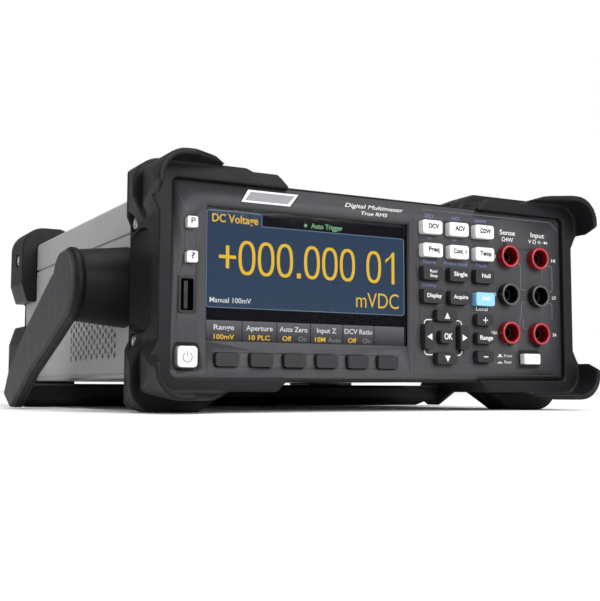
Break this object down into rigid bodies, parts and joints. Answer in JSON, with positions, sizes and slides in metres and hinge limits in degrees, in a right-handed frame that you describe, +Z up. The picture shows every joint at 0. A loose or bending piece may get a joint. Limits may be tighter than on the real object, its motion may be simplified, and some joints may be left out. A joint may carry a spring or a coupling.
{
  "type": "bench multimeter",
  "caption": "Bench digital multimeter in a half-rack case with a colour display, soft keys, shrouded input sockets, corner bumpers and a swinging carrying handle.",
  "frame": {"origin": "on the table, under the middle of the overall box", "axes": "+X to the right seen from the front, +Y from the front panel to the rear, +Z up"},
  "size_m": [0.259, 0.25, 0.1032],
  "materials": {
    "panel_grey": "fine texture",
    "window_clear": "clear",
    "screen": "lit display",
    "keypad_rubber": "matt",
    "board_green": "solder mask",
    "jack_red": "gloss",
    "jack_black": "satin",
    "brass": "plated",
    "port_metal": "plated",
    "bumper_rubber": "satin",
    "screw_steel": "zinc plated",
    "case_paint": "fine texture",
    "transformer_iron": "varnished laminations",
    "shield_tin": "tinned",
    "handle_black": "fine texture",
    "key_white": "satin",
    "key_dark": "satin",
    "key_blue": "satin"
  },
  "bodies": {
    "instrument": {"front_panel": "panel_grey", "display_window": "window_clear", "lcd_module": "screen", "key_mat": "keypad_rubber", "front_board": "board_green", "red_jacks": "jack_red", "black_jacks": "jack_black", "jack_contacts": "brass", "usb_port": "port_metal", "front_bumper": "bumper_rubber", "rear_bumper": "bumper_rubber", "bumper_screws": "screw_steel", "case_cover": "case_paint", "chassis_tray": "case_paint", "main_board": "board_green", "transformer": "transformer_iron", "shield_can": "shield_tin", "pivot_pins": "screw_steel", "rear_panel": "case_paint", "mains_inlet": "jack_black", "fuse_holder": "jack_black", "rear_red_jacks": "jack_red", "rear_black_jacks": "jack_black", "trigger_sockets": "port_metal", "lan_port": "port_metal", "usb_device_port": "port_metal", "rear_screws": "screw_steel"},
    "handle": {"handle_arm_left": "handle_black", "handle_arm_right": "handle_black", "handle_grip": "handle_black"},
    "power_button": {"power_button": "key_white"},
    "preset_key": {"preset_key": "key_white"},
    "help_key": {"help_key": "key_white"},
    "soft_key_1": {"soft_key_1": "key_dark"},
    "soft_key_2": {"soft_key_2": "key_dark"},
    "soft_key_3": {"soft_key_3": "key_dark"},
    "soft_key_4": {"soft_key_4": "key_dark"},
    "soft_key_5": {"soft_key_5": "key_dark"},
    "soft_key_6": {"soft_key_6": "key_dark"},
    "dcv_key": {"dcv_key": "key_white"},
    "acv_key": {"acv_key": "key_white"},
    "ohm_key": {"ohm_key": "key_white"},
    "freq_key": {"freq_key": "key_white"},
    "cont_key": {"cont_key": "key_white"},
    "temp_key": {"temp_key": "key_white"},
    "run_key": {"run_key": "key_dark"},
    "single_key": {"single_key": "key_dark"},
    "null_key": {"null_key": "key_dark"},
    "display_key": {"display_key": "key_dark"},
    "acquire_key": {"acquire_key": "key_dark"},
    "shift_key": {"shift_key": "key_blue"},
    "nav_up": {"nav_up": "key_dark"},
    "nav_down": {"nav_down": "key_dark"},
    "nav_left": {"nav_left": "key_dark"},
    "nav_right": {"nav_right": "key_dark"},
    "nav_ok": {"nav_ok": "key_dark"},
    "range_up": {"range_up": "key_dark"},
    "range_auto": {"range_auto": "key_dark"},
    "range_down": {"range_down": "key_dark"},
    "input_switch": {"input_switch": "key_white"}
  },
  "joints": [
    {"name": "handle_swing", "type": "hinge", "parent": "instrument", "child": "handle", "pos_m": [0, -0.0598, 0.05305], "axis": [-1, 0, 0], "range_deg": [0, 300]},
    {"name": "power_button_press", "type": "slide", "parent": "instrument", "child": "power_button", "axis": [0, 1, 0], "range_m": [0, 0.0012], "stiffness_N_per_m": 300, "springref_m": -0.001},
    {"name": "preset_key_press", "type": "slide", "parent": "instrument", "child": "preset_key", "axis": [0, 1, 0], "range_m": [0, 0.0012], "stiffness_N_per_m": 300, "springref_m": -0.001},
    {"name": "help_key_press", "type": "slide", "parent": "instrument", "child": "help_key", "axis": [0, 1, 0], "range_m": [0, 0.0012], "stiffness_N_per_m": 300, "springref_m": -0.001},
    {"name": "soft_key_1_press", "type": "slide", "parent": "instrument", "child": "soft_key_1", "axis": [0, 1, 0], "range_m": [0, 0.0012], "stiffness_N_per_m": 300, "springref_m": -0.001},
    {"name": "soft_key_2_press", "type": "slide", "parent": "instrument", "child": "soft_key_2", "axis": [0, 1, 0], "range_m": [0, 0.0012], "stiffness_N_per_m": 300, "springref_m": -0.001},
    {"name": "soft_key_3_press", "type": "slide", "parent": "instrument", "child": "soft_key_3", "axis": [0, 1, 0], "range_m": [0, 0.0012], "stiffness_N_per_m": 300, "springref_m": -0.001},
    {"name": "soft_key_4_press", "type": "slide", "parent": "instrument", "child": "soft_key_4", "axis": [0, 1, 0], "range_m": [0, 0.0012], "stiffness_N_per_m": 300, "springref_m": -0.001},
    {"name": "soft_key_5_press", "type": "slide", "parent": "instrument", "child": "soft_key_5", "axis": [0, 1, 0], "range_m": [0, 0.0012], "stiffness_N_per_m": 300, "springref_m": -0.001},
    {"name": "soft_key_6_press", "type": "slide", "parent": "instrument", "child": "soft_key_6", "axis": [0, 1, 0], "range_m": [0, 0.0012], "stiffness_N_per_m": 300, "springref_m": -0.001},
    {"name": "dcv_key_press", "type": "slide", "parent": "instrument", "child": "dcv_key", "axis": [0, 1, 0], "range_m": [0, 0.0012], "stiffness_N_per_m": 300, "springref_m": -0.001},
    {"name": "acv_key_press", "type": "slide", "parent": "instrument", "child": "acv_key", "axis": [0, 1, 0], "range_m": [0, 0.0012], "stiffness_N_per_m": 300, "springref_m": -0.001},
    {"name": "ohm_key_press", "type": "slide", "parent": "instrument", "child": "ohm_key", "axis": [0, 1, 0], "range_m": [0, 0.0012], "stiffness_N_per_m": 300, "springref_m": -0.001},
    {"name": "freq_key_press", "type": "slide", "parent": "instrument", "child": "freq_key", "axis": [0, 1, 0], "range_m": [0, 0.0012], "stiffness_N_per_m": 300, "springref_m": -0.001},
    {"name": "cont_key_press", "type": "slide", "parent": "instrument", "child": "cont_key", "axis": [0, 1, 0], "range_m": [0, 0.0012], "stiffness_N_per_m": 300, "springref_m": -0.001},
    {"name": "temp_key_press", "type": "slide", "parent": "instrument", "child": "temp_key", "axis": [0, 1, 0], "range_m": [0, 0.0012], "stiffness_N_per_m": 300, "springref_m": -0.001},
    {"name": "run_key_press", "type": "slide", "parent": "instrument", "child": "run_key", "axis": [0, 1, 0], "range_m": [0, 0.0012], "stiffness_N_per_m": 300, "springref_m": -0.001},
    {"name": "single_key_press", "type": "slide", "parent": "instrument", "child": "single_key", "axis": [0, 1, 0], "range_m": [0, 0.0012], "stiffness_N_per_m": 300, "springref_m": -0.001},
    {"name": "null_key_press", "type": "slide", "parent": "instrument", "child": "null_key", "axis": [0, 1, 0], "range_m": [0, 0.0012], "stiffness_N_per_m": 300, "springref_m": -0.001},
    {"name": "display_key_press", "type": "slide", "parent": "instrument", "child": "display_key", "axis": [0, 1, 0], "range_m": [0, 0.0012], "stiffness_N_per_m": 300, "springref_m": -0.001},
    {"name": "acquire_key_press", "type": "slide", "parent": "instrument", "child": "acquire_key", "axis": [0, 1, 0], "range_m": [0, 0.0012], "stiffness_N_per_m": 300, "springref_m": -0.001},
    {"name": "shift_key_press", "type": "slide", "parent": "instrument", "child": "shift_key", "axis": [0, 1, 0], "range_m": [0, 0.0012], "stiffness_N_per_m": 300, "springref_m": -0.001},
    {"name": "nav_up_press", "type": "slide", "parent": "instrument", "child": "nav_up", "axis": [0, 1, 0], "range_m": [0, 0.0012], "stiffness_N_per_m": 300, "springref_m": -0.001},
    {"name": "nav_down_press", "type": "slide", "parent": "instrument", "child": "nav_down", "axis": [0, 1, 0], "range_m": [0, 0.0012], "stiffness_N_per_m": 300, "springref_m": -0.001},
    {"name": "nav_left_press", "type": "slide", "parent": "instrument", "child": "nav_left", "axis": [0, 1, 0], "range_m": [0, 0.0012], "stiffness_N_per_m": 300, "springref_m": -0.001},
    {"name": "nav_right_press", "type": "slide", "parent": "instrument", "child": "nav_right", "axis": [0, 1, 0], "range_m": [0, 0.0012], "stiffness_N_per_m": 300, "springref_m": -0.001},
    {"name": "nav_ok_press", "type": "slide", "parent": "instrument", "child": "nav_ok", "axis": [0, 1, 0], "range_m": [0, 0.0012], "stiffness_N_per_m": 300, "springref_m": -0.001},
    {"name": "range_up_press", "type": "slide", "parent": "instrument", "child": "range_up", "axis": [0, 1, 0], "range_m": [0, 0.0012], "stiffness_N_per_m": 300, "springref_m": -0.001},
    {"name": "range_auto_press", "type": "slide", "parent": "instrument", "child": "range_auto", "axis": [0, 1, 0], "range_m": [0, 0.0012], "stiffness_N_per_m": 300, "springref_m": -0.001},
    {"name": "range_down_press", "type": "slide", "parent": "instrument", "child": "range_down", "axis": [0, 1, 0], "range_m": [0, 0.0012], "stiffness_N_per_m": 300, "springref_m": -0.001},
    {"name": "input_switch_press", "type": "slide", "parent": "instrument", "child": "input_switch", "axis": [0, 1, 0], "range_m": [0, 0.003], "stiffness_N_per_m": 300, "springref_m": -0.001}
  ]
}
